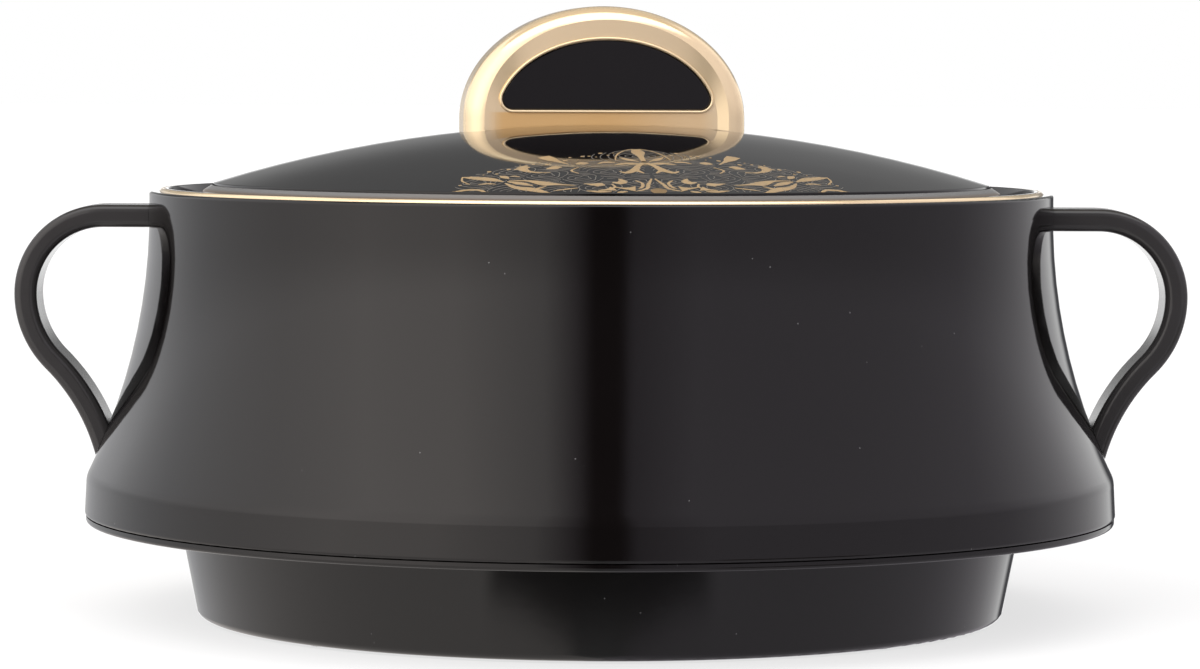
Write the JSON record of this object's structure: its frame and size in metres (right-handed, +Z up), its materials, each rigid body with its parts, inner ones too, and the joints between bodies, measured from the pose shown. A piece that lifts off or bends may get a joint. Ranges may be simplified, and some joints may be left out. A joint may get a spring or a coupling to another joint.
{
  "type": "insulated chapati casserole",
  "caption": "Round insulated serving casserole with a flared double-walled body, steel bowl, stepped base, side handles and a recessed lift-off lid with an arched knob.",
  "frame": {"origin": "centre of the circle of feet, on the plane they stand on", "axes": "+X from the centre to the right-hand handle, +Z up along the axis of the body and the lid; the front faces -Y"},
  "size_m": [0.2922, 0.2574, 0.1525],
  "materials": {
    "gloss_black": "high-gloss moulded plastic",
    "satin_black": "satin moulded plastic",
    "gold": "champagne gold plating on moulded plastic, bright satin",
    "bowl_steel": "drawn stainless steel, satin",
    "fastener_steel": "zinc-plated steel",
    "rubber": "moulded rubber",
    "foam": "rigid polyurethane foam"
  },
  "bodies": {
    "body": {"outer_body": "gloss_black", "base_shell": "gloss_black", "base_feet": "rubber", "base_screws": "fastener_steel", "inner_bowl": "bowl_steel", "bowl_seal": "rubber", "body_insulation": "foam", "rim_collar": "gloss_black", "rim_ring": "gold", "handle_left": "satin_black", "handle_right": "satin_black", "handle_plates": "fastener_steel", "handle_screws": "fastener_steel"},
    "lid": {"lid_cover": "gloss_black", "lid_base": "gloss_black", "lid_seal": "rubber", "lid_insulation": "foam", "knob_frame": "gold", "knob_panel_front": "gloss_black", "knob_panel_back": "gloss_black", "knob_washers": "fastener_steel", "knob_screws": "fastener_steel"}
  },
  "joints": [
    {"name": "lid_lift", "type": "slide", "parent": "body", "child": "lid", "axis": [0, 0, 1], "range_m": [0, 0.1]}
  ]
}
